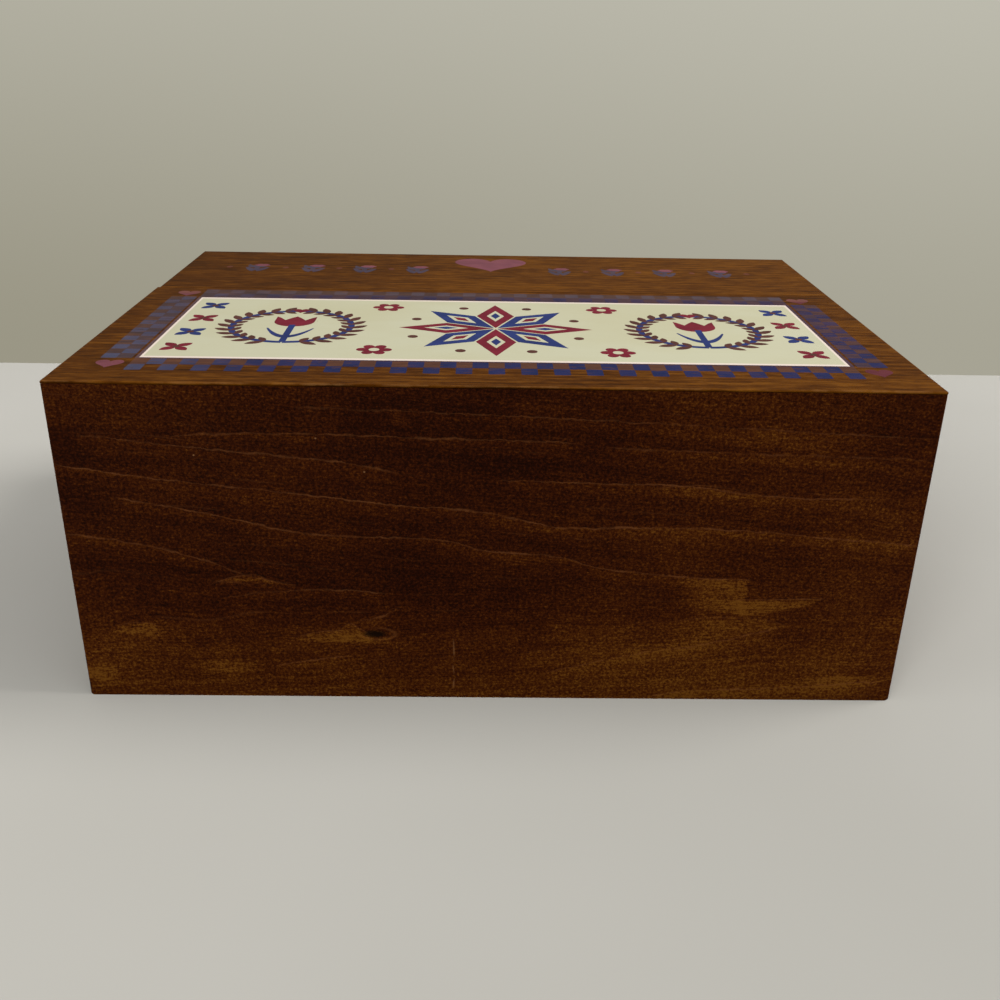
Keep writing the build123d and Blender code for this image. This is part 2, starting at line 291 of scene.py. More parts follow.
# Pale wedges with a clear edge, as (x, z) along their upper and lower sides, the lengths in
# mm over which they fade in from the left and out to the right, and their strength
WEDGES = [
    ([(-120.5, 54), (-106.5, 59), (-99, 60), (-95, 58), (-83, 55)],
     [(-120.5, 53.5), (-99.5, 55.5), (-83, 54)], 10, 2, 0.85),
    ([(-87.5, 29.5), (-74, 32.5), (-65, 34), (-61, 37), (-56.5, 34), (-51, 31)],
     [(-87.5, 28), (-74, 27.5), (-61, 27), (-51, 27)], 14, 3, 1),
    ([(-56, 31), (-51, 29.5), (-43, 31)],
     [(-56, 27), (-50, 27.5), (-43, 29.5)], 2, 2, 0.9),
    ([(-162, 34), (-149.5, 36.5), (-144.5, 36), (-141.5, 32.5)],
     [(-162, 32), (-150.5, 30), (-145, 30.5), (-141.5, 32)], 8, 1.5, 0.85),
    ([(76, 60.5), (107, 59.5)], [(76, 47), (107, 42)], 20, 1.5, 1),
    ([(102, 50), (120.5, 50.5), (139.5, 51)],
     [(102, 42), (121.5, 44), (132, 47), (139.5, 50.5)], 4, 2, 1),
    ([(60, 36), (105, 41.5), (125, 38)],
     [(60, 22.5), (90, 28), (106, 32.5), (125, 37)], 36, 2, 0.6),
    ([(60, 99.5), (74, 102), (88, 102), (108, 98)],
     [(60, 98), (82.5, 96.5), (108, 97)], 14, 5, 0.5),
]
KNOT = (-50.4, 31.9)
SCRATCH_X = -17
CHIPS = [(-71, 120.7), (-52.4, 106.6), (-119.3, 113)]


def grain_line(finish, points):
    """The height in mm of a line through points, and a mask that fades past its two ends."""
    places = [((x + HALF_WIDTH + 2) / (2 * HALF_WIDTH + 4), z / HEIGHT) for x, z in points]
    share = (finish.x + (HALF_WIDTH + 2)) / (2 * HALF_WIDTH + 4)
    node = finish.node("ShaderNodeFloatCurve", {"Value": share})
    curve = node.mapping.curves[0].points
    while len(curve) < len(places):
        curve.new(0.5, 0.5)
    for point, place in zip(curve, places):
        point.location = place
    node.mapping.update()
    height = Signal(finish, node.outputs["Value"]) * HEIGHT
    first = finish.x.rise(points[0][0] - 2, points[0][0] + 8)
    last = 1.0 - finish.x.rise(points[-1][0] - 8, points[-1][0] + 2)
    return height, first * last


def flame(finish, ragged, x, z, long, high, lean):
    """A ragged patch: 1 inside an ellipse that leans with the grain, 0 outside it."""
    level = (finish.z - z) - (finish.x - x) * lean
    far = ((finish.x - x) / long) ** 2.0 + (level / high) ** 2.0 + ragged
    return 1.0 - far.rise(0.25, 1.15)


def front_wood():
    finish = Finish("front_pine_stain_and_shade")
    x, y, z = finish.x, finish.y, finish.z
    swing, patches, mix, most = finish.swing, finish.patches, finish.mix, finish.most
    # The grain falls to the right above and rises to the right below
    fall = z.rise(25, 70) * 0.15 - 0.07
    level = z + x * fall
    wave = finish.noise((46, 30, 60), 2, 0.5, 2)
    level = level + wave * 7.0
    axes = (x, level, y)
    fine = swing((42, 0.7, 2), 4, 0.65, 4, axes)
    band = swing((150, 3.4, 12), 2, 0.5, 7, axes)
    fibre = swing((5, 0.5, 1), 3, 0.7, 8, axes)
    blot = swing((40, 13, 30), 4, 0.6, 9)
    broad = swing((120, 46, 60), 1, 0.5, 12)
    mottle = swing((1.2, 0.9, 1.1), 2, 0.75, 15)
    chatter = swing((1.1, 4, 14), 2, 0.6, 17)
    # Darker in the middle, lighter to the right and towards the bottom
    right = x.rise(-10, 95)
    shade = 0.37 + right * 0.15
    shade = shade + (1.0 - z.rise(12, 62)) * (0.29 - right * 0.14)
    core = ((x + 10.0) / 110.0) ** 2.0 + ((z - 78.0) / 75.0) ** 2.0
    shade = shade - (1.0 - core.rise(0, 1.6)) * 0.09
    high_left = z.rise(112, 134) * (1.0 - x.rise(-110, -15))
    high_right = z.rise(84, 124) * x.rise(40, 120)
    shade = shade + high_left * 0.12 - high_right * 0.07 - z.rise(80, 104) * 0.03
    shade = shade + fine * 0.5 + band * 0.28 + fibre * 0.6 + blot * 0.6 + broad * 0.25
    shade = shade + mottle * 1.6 + chatter * 0.25
    # Pale late-wood lines, each with a glow that fades below it
    jitter = swing((6, 6, 6), 4, 0.65, 21) * 3.0
    thick = patches(0.3, 0.72, (13, 6, 6), 2, 0.6, 22) * 0.6 + 0.24
    broken = patches(0.36, 0.66, (11, 5, 5), 4, 0.7, 23)
    lines = []
    glows = []
    for points, strength in GRAIN_LINES:
        height, reach = grain_line(finish, points)
        below = height + jitter - z
        lines.append((1.0 - (abs(below) / thick).rise(0.1, 1)) * reach * strength)
        glow = below.rise(-0.4, 0.4) * (1.0 - below.rise(0.4, 8))
        glows.append(glow * reach * strength)
    # Fainter lines between them, that follow the lie of the grain
    faint = finish.math("FRACT", level / 7.3).near(0.5, 0.07)
    faint = faint * patches(0.5, 0.68, (30, 2, 8), 2, 0.6, 25, axes)
    tatter = swing((15, 1.4, 10), 3, 0.65, 27, axes) * 3.4
    flames = most(*[flame(finish, tatter, *place) * strength for *place, strength in FLAMES])
    shade = shade + most(*glows) * 0.16 + flames * (0.25 + fibre * 0.8 + fine * 0.5)
    # Wedges, whose right ends are jagged and whose upper edges catch the light
    jag = x + swing((14, 14, 3.4), 3, 0.65, 47) * 8.0
    nibble = swing((5, 3, 3), 3, 0.65, 49) * 1.4
    for upper, lower, fade_in, fade_out, strength in WEDGES:
        top, _ = grain_line(finish, upper)
        foot, _ = grain_line(finish, lower)
        over = jag.rise(upper[0][0] - 1, upper[0][0] + fade_in)
        over = over * (1.0 - jag.rise(upper[-1][0] - fade_out, upper[-1][0] + 0.5))
        below = top + nibble - z
        inside = below.rise(-0.2, 0.4) * (z - foot + nibble).rise(-0.4, 1.2) * over
        shade = shade + inside * (fibre * 0.8 + fine * 0.5 + 0.26) * strength
        rim_light = (1.0 - abs(below).rise(0.05, 0.45)) * over * strength
        lines.append(rim_light * 0.8)
    lines = most(*lines)
    # Dark tones: the stain, and also painted shade of a front face turned away from the light
    colour = finish.ramp(shade, [
        (0.0, tone(24, 6, 1)),
        (0.25, tone(38, 11, 2)),
        (0.5, tone(55, 21, 3)),
        (0.75, tone(75, 37, 6)),
        (1.0, tone(102, 62, 16)),
    ])
    pale = lines * (0.14 + broken * 0.4) + faint * 0.12
    colour = mix(pale, colour, tone(112, 68, 36))
    # The knot: a dark eye with a pale rim on its right
    bend = swing((4, 2.5, 4), 2, 0.6, 31) * 0.9
    eye = ((x - KNOT[0]) / 5.2) ** 2.0 + ((z - KNOT[1]) / 1.8) ** 2.0 + bend
    rim = (eye + bend).near(2.9, 1.1) * x.rise(KNOT[0] - 4, KNOT[0] + 4)
    colour = mix(rim * 0.3, colour, tone(112, 66, 30))
    dark_eye = 1.0 - eye.rise(0.2, 1.5)
    colour = mix(dark_eye * 0.9, colour, tone(12, 5, 2))
    # A light upright scratch, and three tiny chips
    waver = swing((5, 5, 9), 1, 0.5, 33) * 2.0
    scratch = (x + waver).near(SCRATCH_X, 0.5)
    scratch = scratch * z.rise(4, 7) * (1.0 - z.rise(27, 31))
    scratch = scratch * patches(0.38, 0.55, (3, 3, 5), 1, 0.5, 35)
    marks = [scratch * 0.28]
    for chip_x, chip_z in CHIPS:
        far = (x - chip_x) ** 2.0 + (z - chip_z) ** 2.0 + mottle * 0.8
        marks.append((1.0 - far.rise(0.02, 0.24)) * 0.5)
    colour = mix(most(*marks), colour, tone(150, 108, 70))
    # Sawn ends, and pale edges: worn stain, and also a painted highlight along the arrises
    is_end = abs(x).rise(HALF_WIDTH - 0.35, HALF_WIDTH - 0.15)
    rings = end_grain(finish, z, y, 41.0)
    colour = mix(is_end, colour, mix(rings, tone(34, 13, 5), tone(60, 27, 9)))
    rub_and_highlight = 1.0 - (edge_distance(finish) + mottle * 1.6).rise(0.1, 0.8)
    rub_and_highlight = rub_and_highlight * patches(0.4, 0.66, (30, 20, 14), 2, 0.6, 45)
    colour = mix(rub_and_highlight * 0.35, colour, tone(112, 64, 28))
    relief = fine * 0.6 + fibre * 0.5 + mottle * 0.3 + lines * 0.5 - scratch * 0.8
    rough = 0.56 + fine * 0.3 + flames * 0.06
    return finish.surface(colour, rough, relief, specular=0.025, depth=0.06)


def stained_pine(name, along, across, through, tones, ring=7.0, wander=26.0, lean=0.5, seed=1.0,
                 specular=0.3, rough=0.42, worn_and_lit=None, ends=None, tint=None, figure=0.4, streaks=0.3):
    """Plain stained pine, from its dark, middle and light tones, for closed() to finish.

    along, across and through name the axes of a board. ring is the width of its growth
    rings in mm, and figure and streaks say how strongly rings and streaks show. Its edges turn
    to the worn_and_lit tone: wear, and on the lid also a painted highlight along its arrises.
    It shows end grain where along is ends mm from the middle.
    """
    finish = Finish(name)
    axis = {"x": finish.x, "y": finish.y, "z": finish.z}
    along, across, through = axis[along], axis[across], axis[through]
    late, streak, blot, fleck = pine_grain(finish, along, across, through, ring, wander, lean, seed)
    fibre = finish.swing((5, 0.5, 1), 3, 0.7, seed + 19, (along, across, through))
    broad = finish.swing((13, 2.6, 5), 3, 0.7, seed + 21, (along, across, through))
    shade = 0.5 + (streak - 0.5) * 1.1 + (blot - 0.5) * 0.7 + fibre * 0.7 - (late - 0.4) * figure
    shade = shade + broad * streaks
    # A shift of shade along the board; on the rear lid board it is partly a painted sheen on the right
    if tint is not None:
        shade = shade + tint(finish)
    dark, middle, light = tones
    colour = finish.three_tones(shade, dark, middle, light)
    colour = finish.mix(fleck * 0.4, colour, dark)
    if ends is not None:
        is_end = abs(along).rise(ends - 0.35, ends - 0.15)
        rings = end_grain(finish, across, through, seed + 23.0)
        colour = finish.mix(is_end * 0.85, colour, finish.mix(rings, dark, middle))
    # Paler edges: real wear, and on the lid also a painted highlight along its arrises
    if worn_and_lit is not None:
        ragged = finish.noise((6, 6, 6), 3, 0.6, seed + 29)
        rub_and_highlight = 1.0 - (edge_distance(finish) + (ragged - 0.5) * 1.8).rise(0.1, 0.8)
        rub_and_highlight = rub_and_highlight * finish.patches(0.35, 0.6, (40, 40, 20), 2, 0.6, seed + 33)
        colour = finish.mix(rub_and_highlight * 0.5, colour, worn_and_lit)
    relief = (streak - 0.5) * 0.7 - late * 0.35 - fleck * 0.3
    sheen = rough + (streak - 0.5) * 0.16 + (blot - 0.5) * 0.1
    return finish, colour, sheen, relief, specular


def closed(parts):
    """Turns what stained_pine gives into a material."""
    finish, colour, rough, relief, specular = parts
    return finish.surface(colour, rough, relief, specular=specular)


LID_TONES = (tone(44, 20, 1), tone(80, 42, 3), tone(114, 69, 15))
CASE_TONES = (tone(34, 12, 2), tone(56, 23, 5), tone(84, 43, 12))
INNER_TONES = (tone(118, 82, 48), tone(164, 122, 78), tone(196, 158, 112))
# The lid's edge tone is wear and also a painted highlight on its arrises
LID_WORN_AND_LIT = tone(136, 94, 52)
CASE_RUBBED = tone(118, 72, 36)


def lid_wood(name, seed, tint):
    """The lid's golden brown, with straight fine grain from end to end."""
    return stained_pine(
        name, "x", "y", "z", LID_TONES, ring=4.6, wander=11.0, lean=0.7, seed=seed,
        specular=0.012, rough=0.5, worn_and_lit=LID_WORN_AND_LIT, ends=HALF_WIDTH, tint=tint, figure=0.24,
        streaks=1.5,
    )


def case_wood(name, along, through, ring, wander, seed, ends=None):
    """The dark stained back and sides, their grain lying level."""
    return closed(stained_pine(
        name, along, "z", through, CASE_TONES, ring=ring, wander=wander, seed=seed,
        specular=0.04, rough=0.55, worn_and_lit=CASE_RUBBED, ends=ends,
    ))


def front_lid_tint(finish):
    """A little duller to the left."""
    return finish.x.rise(-175, 60) * 0.08 - 0.04


def rear_lid_tint_and_sheen(finish):
    """Darker and redder to the left; golden to the right, partly as a painted sheen."""
    return finish.x.rise(-170, 20) * 0.24 - 0.12


def paint_film(name, paint, seed, cover, tint=front_lid_tint, wear=0.35, faded=None, worn_from=0.62,
               behind=None):
    """Print over the lid's wood: paint that lets the grain show through where it is thin.

    cover says how much of the wood the paint hides, from 0 to 1, as a number or a function
    of the finish. Paint with a faded tone turns to it at the left end, and to the behind
    tone in the rear band.
    """
    finish, wood, rough, relief, _ = lid_wood(name, seed, tint)
    if faded is not None:
        paint = finish.mix(finish.x.rise(-162, -90), faded, paint)
    if behind is not None:
        paint = finish.mix(finish.y.rise(BAND_REAR[0] + 4, BAND_REAR[1] - 6), paint, behind)
    streak = finish.noise((30, 0.9, 3), 3, 0.6, 51)
    cloud = finish.noise((14, 11, 14), 3, 0.6, 53)
    worn = finish.patches(worn_from, worn_from + 0.12, (7, 1.6, 4), 3, 0.65, 57)
    share = cover(finish) if callable(cover) else cover
    share = share + (streak - 0.5) * 0.45 + (cloud - 0.5) * 0.4 - worn * wear
    deeper = finish.mix(0.30, paint, (0.0, 0.0, 0.0, 1.0))
    colour = finish.mix(cloud.rise(0.3, 0.75), paint, deeper)
    colour = finish.mix(share, wood, colour)
    relief = relief * 0.6 + share * 0.4
    return finish.surface(colour, rough + 0.06, relief, specular=0.05, depth=0.04)


def cream_film():
    """The cream ground of the picture: smooth, slightly uneven, a few specks."""
    finish = Finish("print_cream")
    streak = finish.noise((60, 0.9, 3), 3, 0.6, 61)
    cloud = finish.noise((70, 45, 40), 3, 0.6, 63)
    warm = cloud.rise(0.3, 0.7) * 0.6 + (streak - 0.5) * 0.35
    colour = finish.mix(warm, tone(196, 195, 168), tone(190, 186, 152))
    speck = finish.patches(0.775, 0.80, (1.7, 1.7, 1.7), 1, 0.5, 66)
    speck = speck * finish.patches(0.5, 0.6, (26, 26, 26), 1, 0.5, 68)
    colour = finish.mix(speck * 0.6, colour, tone(110, 86, 60))
    to_side = PANEL_HALF_LONG - abs(finish.x)
    to_front = PANEL_HALF_DEEP - abs(finish.y - PANEL_Y)
    rim = 1.0 - finish.least(to_side, to_front * 0.5).rise(0.9, 1.3)
    colour = finish.mix(rim * 0.9, colour, tone(232, 216, 206))
    rough = 0.46 + (streak - 0.5) * 0.1
    return finish.surface(colour, rough, streak, specular=0.1, depth=0.02)


# Places of the print on the lid, in mm
PANEL_HALF_LONG = 146.6
PANEL_FRONT = FRONT_Y + 32.3
PANEL_BACK = FRONT_Y + 137.5
PANEL_Y = (PANEL_FRONT + PANEL_BACK) / 2
PANEL_HALF_DEEP = (PANEL_BACK - PANEL_FRONT) / 2
CHECK_LONG = 6.57
BAND_FRONT = (FRONT_Y + 15.0, FRONT_Y + 31.0)
BAND_REAR = (FRONT_Y + 138.8, FRONT_Y + 154.6)
BAND_SIDE = (149.3, 162.1)
LONG_SPAN = (-147.9, 147.9)
SIDE_SPAN = (BAND_FRONT[1], BAND_REAR[0])
EDGE_HALF_LONG = 148.2
EDGE_GAP = 0.1
EDGE_WIDE = 1.0
CORNER_HEARTS = [(sx * x, FRONT_Y + y) for sx in (-1, 1) for x, y in ((156.2, 22.7), (155.4, 145.8))]
CORNER_HEART_SIZE = 11.3
BIG_HEART = (-2.0, FRONT_Y + 225.5)
BIG_HEART_SIZE = (41.5, 36.0)
TULIP_Y = FRONT_Y + 211.5
TULIP_X = [-133.3, -102.0, -73.0, -43.3, 36.9, 67.1, 96.5, 128.1]
DOT_X = [-149.0, -117.6, -87.5, -58.1, 52.0, 81.8, 112.3, 143.4]
LID_TOP = HEIGHT
GROUND_FILM = 0.02
NAVY_FILM = 0.04
MAROON_FILM = 0.0415
BROWN_FILM = 0.065
CREAM_FILM = 0.09
SMALL_FILM = 0.115
FILM_FOOT = -0.02
FILM_STEP = 0.003
FILM_STEPS = 7


# Flat shapes, as closed outlines of points in mm
def turned(points, angle, centre=(0.0, 0.0)):
    """Points turned about the origin by an angle, then moved to a centre."""
    c, s = cos(angle), sin(angle)
    return points @ np.array([[c, s], [-s, c]]) + np.array(centre)


def rectangle(x0, x1, y0, y1):
    return np.array([(x0, y0), (x1, y0), (x1, y1), (x0, y1)], float)


def polar(radius, angle):
    return np.stack([radius * np.cos(angle), radius * np.sin(angle)], 1)


def round_turn(count):
    return np.linspace(0, 2 * np.pi, count, endpoint=False)


def disc(radius, count):
    return polar(radius, round_turn(count))


def rosette(radius, petals, depth, count=96):
    """A flower's outline: the radius swells and shrinks with the cosine of petals turns."""
    a = round_turn(count)
    return polar(radius * (1 - depth + depth * np.abs(np.cos(petals * a / 2)) ** 0.7), a)


def heart(wide, high, count=64):
    """x = 16 sin^3 t and y = 13 cos t - 5 cos 2t - 2 cos 3t - cos 4t, brought to size."""
    t = round_turn(count)
    x = 16 * np.sin(t) ** 3
    y = 13 * np.cos(t) - 5 * np.cos(2 * t) - 2 * np.cos(3 * t) - np.cos(4 * t)
    x = x / (x.max() - x.min()) * wide
    y = (y - (y.max() + y.min()) / 2) / (y.max() - y.min()) * high
    return np.stack([x, y], 1)


def leaf(long, wide, count=10):
    """An almond from the origin along +X: half width wide/2 * sin(pi u) ^ 0.8."""
    u = np.linspace(0, 1, count)
    half = wide / 2 * np.sin(np.pi * u) ** 0.8
    upper = np.stack([u * long, half], 1)
    lower = np.stack([u[1:-1] * long, -half[1:-1]], 1)[::-1]
    return np.concatenate([upper, lower])


def diamond(side, half_angle, inset):
    """A rhombus with one corner near the origin and its long diagonal along +X."""
    tip = 2 * side * cos(half_angle)
    mid = np.array([tip / 2, 0.0])
    corner = np.array([side * cos(half_angle), side * sin(half_angle)])
    points = np.array([(0.0, 0.0), corner * (1, -1), (tip, 0.0), corner])
    return (points - mid) * (1 - inset) + mid


def bloom(wide, high, count=14):
    """A tulip: a round cup with three points, base at the origin, up +Y."""
    a = np.linspace(np.pi, 2 * np.pi, count)
    cup_high = 0.5 * high
    cup = np.stack([wide / 2 * np.cos(a), cup_high * (1 + np.sin(a))], 1)
    crown = [(0.50, 0.97), (0.40, 0.86), (0.25, 0.62), (0.12, 0.84), (0.0, 1.0),
             (-0.12, 0.84), (-0.25, 0.62), (-0.40, 0.86), (-0.50, 0.97)]
    return np.concatenate([cup, np.array(crown) * (wide, high)])


def ribbon(path, widths):
    """A strip along a path: each point stands half a width to either side of it."""
    path = np.asarray(path, float)
    way = np.gradient(path, axis=0)
    way = way / np.linalg.norm(way, axis=1, keepdims=True)
    side = np.stack([-way[:, 1], way[:, 0]], 1) * (np.broadcast_to(widths, len(path)) / 2)[:, None]
    return np.concatenate([path + side, (path - side)[::-1]])


def at(points, x, y):
    return points + np.array([x, y])


def film(name, outlines, low, high, material):
    """A thin closed plate over each outline, from height low to height high, in mm.

    Each plate stands a hair higher than the one before, so that no two tops share a plane.
    """
    corners = []
    faces = []
    for index, outline in enumerate(outlines):
        lift = FILM_STEP * (index % FILM_STEPS)
        x, y = outline.T
        area = np.sum(x * np.roll(y, -1) - np.roll(x, -1) * y)
        outline = outline if area > 0 else outline[::-1]
        count = len(outline)
        start = sum(len(c) for c in corners)
        corners.append(np.column_stack([outline, np.full(count, low)]))
        corners.append(np.column_stack([outline, np.full(count, high + lift)]))
        bottom = np.arange(start, start + count)
        top = bottom + count
        faces += [bottom[::-1].tolist(), top.tolist()]
        faces += np.stack([bottom, np.roll(bottom, -1), np.roll(top, -1), top], 1).tolist()
    mesh = bpy.data.meshes.new(name)
    mesh.from_pydata((np.concatenate(corners) * MM).tolist(), [], faces)
    mesh.validate()
    mesh.update()
    mesh.materials.append(material)
    obj = add_object(name, mesh)
    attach(obj, "lid")


# The two rows of checks round the picture
def soft_corners(shape, cut=0.35):
    """A square whose corners are cut a little, as a stencil leaves them."""
    ends = []
    for turn in (1, -1):
        way = np.roll(shape, turn, axis=0) - shape
        ends.append(shape + cut * way / np.linalg.norm(way, axis=1, keepdims=True))
    return np.stack(ends, 1).reshape(-1, 2)


def check_row(span, low, high, odd):
    """Every other square of a row along a span; odd says which squares are painted."""
    start, stop = span
    count = round((stop - start) / CHECK_LONG)
    step = (stop - start) / count
    shapes = []
    for index in range(count):
        if index % 2 == odd:
            square = rectangle(start + index * step, start + (index + 1) * step, low, high)
            shapes.append(soft_corners(square))
    return shapes


def two_rows(span, band, odd):
    """The squares of a band's two rows; odd says which square its first row starts with."""
    middle = sum(band) / 2
    return check_row(span, band[0], middle, odd) + check_row(span, middle, band[1], 1 - odd)


def side_bands(odd):
    """The squares of both side bands, whose first rows are the inner ones."""
    rows = two_rows(SIDE_SPAN, BAND_SIDE, odd)
    return [row[:, ::-1] * (sign, 1) for sign in (-1, 1) for row in rows]


def checks():
    """The blue squares: the outer row of each long band begins and ends with one."""
    return two_rows(LONG_SPAN, BAND_FRONT, 0) + two_rows(LONG_SPAN, BAND_REAR, 1) + side_bands(1)


def red_squares():
    """The faint red squares between the blue ones of the row in front of the picture."""
    return check_row(LONG_SPAN, sum(BAND_FRONT) / 2, BAND_FRONT[1], 0)


def violet_squares():
    """The faint violet squares between the blue ones at the sides and behind the picture."""
    return two_rows(LONG_SPAN, BAND_REAR, 0) + side_bands(0)


# The picture: a quilt star between two leafy rings
STAR_SIDE = 24.5
STAR_HALF_ANGLE = radians(22.5)
RING_X = 93.0
RING_RADIUS = 27.0
LEAVES_A_SIDE = 12
LEAF_FIRST = 16
LEAF_SWEEP = 148
LEAF_LEAN = radians(46)
DOT_RADIUS = 40.0
CORNER_FLOWER = (52.0, 37.0)
COLUMN_X = 136.0
COLUMN_Y = (-36.0, -12.0, 12.0, 36.0)


def star(odd, share):
    """Every other diamond of an eight-pointed star; share shrinks it about its middle."""
    shapes = []
    for index in range(8):
        if index % 2 == odd:
            one = diamond(STAR_SIDE, STAR_HALF_ANGLE, 1 - share)
            shapes.append(turned(one, radians(45 * index + 90), (0.0, PANEL_Y)))
    return shapes


def leaf_ring(sign):
    """Leaves in pairs up both sides of a ring, outside and inside it, leaning to its top."""
    shapes = []
    centre = np.array([sign * RING_X, PANEL_Y])
    for side in (-1, 1):
        for step in range(LEAVES_A_SIDE):
            around = radians(LEAF_FIRST + LEAF_SWEEP * step / (LEAVES_A_SIDE - 1)) * side
            angle = -pi / 2 + around
            foot = centre + RING_RADIUS * np.array([cos(angle), sin(angle)])
            onward = angle + side * pi / 2
            shapes.append(turned(leaf(9.2, 3.9), onward - side * LEAF_LEAN, foot))
            shapes.append(turned(leaf(7.0, 3.3), onward + side * LEAF_LEAN, foot))
    return shapes


def ring_tulip(x):
    """A tulip that stands on the front of a ring: stem and leaves, then the bloom."""
    stem = np.array([(x, PANEL_Y - RING_RADIUS), (x, PANEL_Y - 8), (x, PANEL_Y + 2)])
    green = [ribbon(stem, 3.0)]
    for side in (-1, 1):
        reach = np.linspace(0.4, 10.4, 11)
        curve = np.stack([x + side * reach, PANEL_Y - 18 + 0.13 * reach ** 2], 1)
        green.append(ribbon(curve, np.linspace(4.4, 0.8, 11)))
    return green, at(bloom(18.5, 18.0), x, PANEL_Y - 1.0)


def picture():
    """The picture's shapes by ink: navy, maroon, brown and cream, then the small ones on top."""
    navy = []
    brown = []
    # The star, with a cream and a dark diamond inside each of its own
    maroon = star(0, 0.95)
    navy += star(1, 0.95)
    cream = star(0, 0.44) + star(1, 0.44)
    small_navy = star(0, 0.24)
    small_maroon = star(1, 0.24)
    for index in range(8):
        angle = radians(45 * index + 22.5)
        x, y = DOT_RADIUS * cos(angle), DOT_RADIUS * sin(angle)
        brown.append(at(disc(2.3, 16), x, PANEL_Y + y))
    for sign in (-1, 1):
        x = sign * RING_X
        # The ring, open by a hair at the front
        around = np.linspace(-pi / 2 + 0.01, 1.5 * pi - 0.01, 72)
        navy.append(ribbon(at(polar(RING_RADIUS, around), x, PANEL_Y), 3.0))
        brown += leaf_ring(sign)
        green, flower = ring_tulip(x)
        navy += green
        maroon.append(flower)
        maroon.append(at(heart(8.0, 7.6), x, PANEL_Y + RING_RADIUS + 0.4))
        # Small flowers in the corners by the star, and a column at the far end
        for up in (-1, 1):
            place = (sign * CORNER_FLOWER[0], PANEL_Y + up * CORNER_FLOWER[1])
            maroon.append(at(rosette(7.6, 6, 0.4), *place))
            cream.append(at(disc(2.3, 16), *place))
        for index, y in enumerate(COLUMN_Y):
            place = (sign * COLUMN_X, PANEL_Y + y)
            for turn in range(4):
                shape = turned(leaf(8.0, 4.6), radians(90 * turn + 45), place)
                (navy if index % 2 else maroon).append(shape)
            brown.append(at(disc(1.7, 12), *place))
    return navy, maroon, brown, cream, small_navy, small_maroon


# The little flowers on the rear board
def little_flower(x, y):
    """A pink bloom, leaning right, over a blue cup and stem with two curled leaves."""
    blue = [ribbon(np.array([(x, y - 8.0), (x, y - 3.0), (x, y + 2.0)]), 2.6)]
    for side in (-1, 1):
        reach = np.linspace(0.2, 5.8, 9)
        curl = np.stack([x + side * reach, y - 8.0 + 0.5 * (reach - 0.2) ** 1.6], 1)
        blue.append(ribbon(curl, np.linspace(6.0, 2.0, 9)))
    blue.append(at(bloom(10.4, 9.0), x - 0.8, y - 1.2))
    pink = [at(rosette(4.4, 6, 0.2) * (1.0, 0.7), x + 1.6, y + 5.6)]
    return blue, pink


def check_cover(finish):
    """The blue of the checks: strong in front and to the right, thin behind and to the left."""
    front_share = 1.0 - finish.y.rise(FRONT_Y + 20, FRONT_Y + 120)
    right_share = finish.x.rise(-170, 0)
    return 0.6 + front_share * 0.2 + right_share * 0.12


def violet_cover(finish):
    """The squares between the blue ones: fainter in the outer rows at the sides."""
    middle = sum(BAND_SIDE) / 2
    return 0.6 - abs(finish.x).rise(middle - 0.1, middle + 0.1) * 0.18


blue_checks = paint_film(
    "print_blue_checks", tone(20, 37, 92), 3.0, check_cover, wear=0.5, worn_from=0.55,
    faded=tone(72, 80, 112), behind=tone(82, 76, 94))
red_checks = paint_film("print_red_checks", tone(92, 60, 58), 3.0, 0.55)
violet_checks = paint_film(
    "print_violet_checks", tone(56, 50, 80), 3.0, violet_cover,
    faded=tone(68, 64, 80), behind=tone(70, 58, 66))
edge_ink = paint_film("print_edge", tone(76, 58, 78), 3.0, 0.82, faded=tone(98, 76, 84))
heart_ink = paint_film(
    "print_hearts", tone(100, 38, 56), 3.0, 0.84,
    faded=tone(126, 68, 82), behind=tone(128, 76, 72))
cream = cream_film()
navy_ink = paint_film("print_navy", tone(38, 54, 116), 3.0, 1.25, wear=0.1)
maroon_ink = paint_film("print_maroon", tone(124, 26, 48), 3.0, 1.25, wear=0.1)
brown_ink = paint_film("print_leaf_brown", tone(92, 52, 46), 3.0, 1.2, wear=0.15)
rear_pink = paint_film("print_rear_pink", tone(132, 74, 90), 5.0, 0.86, rear_lid_tint_and_sheen)
rear_blue = paint_film("print_rear_blue", tone(70, 66, 90), 5.0, 0.78, rear_lid_tint_and_sheen)
faint_red = paint_film("print_faint_red", tone(118, 58, 56), 5.0, 0.42, rear_lid_tint_and_sheen)


def on_wood(name, shapes, ink, high=GROUND_FILM):
    """A film whose foot is let into the lid, so that no gap shows under it."""
    film(name, shapes, LID_TOP + FILM_FOOT, LID_TOP + high, ink)


def panel_edge():
    """Four thin strips round the cream ground."""
    strips = []
    for y in (PANEL_FRONT - EDGE_GAP - EDGE_WIDE, PANEL_BACK + EDGE_GAP):
        strips.append(rectangle(-EDGE_HALF_LONG, EDGE_HALF_LONG, y, y + EDGE_WIDE))
    inner = PANEL_HALF_LONG + EDGE_GAP
    strips.append(rectangle(-EDGE_HALF_LONG, -inner, PANEL_FRONT, PANEL_BACK))
    strips.append(rectangle(inner, EDGE_HALF_LONG, PANEL_FRONT, PANEL_BACK))
    return strips


def rear_flowers():
    """The blue and the pink shapes of the row of little flowers."""
    blue = []
    pink = []
    for x in TULIP_X:
        blue_part, pink_part = little_flower(x, TULIP_Y)
        blue += blue_part
        pink += pink_part
    return blue, pink


